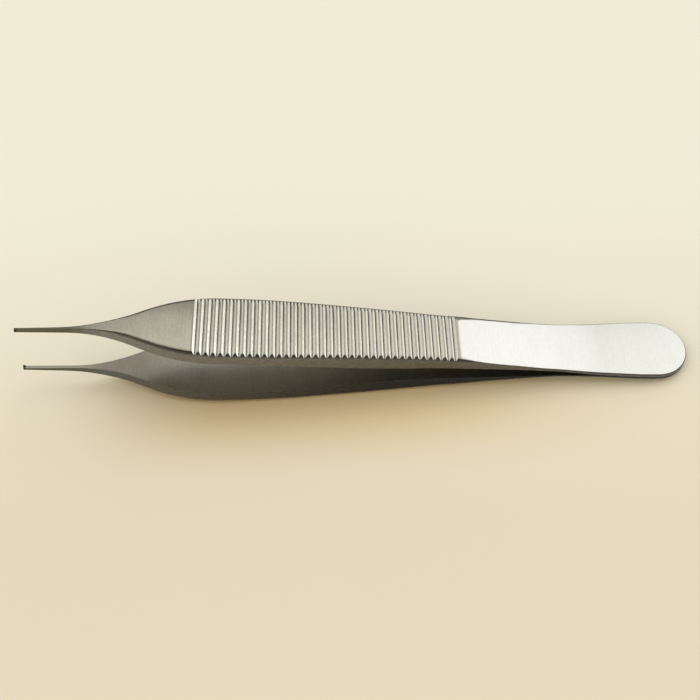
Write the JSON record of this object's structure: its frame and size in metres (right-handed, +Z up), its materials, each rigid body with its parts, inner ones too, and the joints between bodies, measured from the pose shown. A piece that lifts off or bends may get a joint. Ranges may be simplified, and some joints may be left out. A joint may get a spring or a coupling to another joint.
{
  "type": "thumb forceps",
  "caption": "Fine-tipped thumb forceps in satin steel, with springy arms joined at the tail, grooved finger grips and toothed tips that hold tissue.",
  "frame": {"origin": "centre of the outline on the table the forceps lie on, at table height", "axes": "+X from the tips to the tail, +Y across the arms, +Z up from the table"},
  "size_m": [0.1202, 0.0134, 0.0156],
  "materials": {
    "satin_steel": "satin, brushed across the arms"
  },
  "bodies": {
    "root": {"upper_arm": "satin_steel", "lower_arm": "satin_steel"}
  },
  "joints": []
}
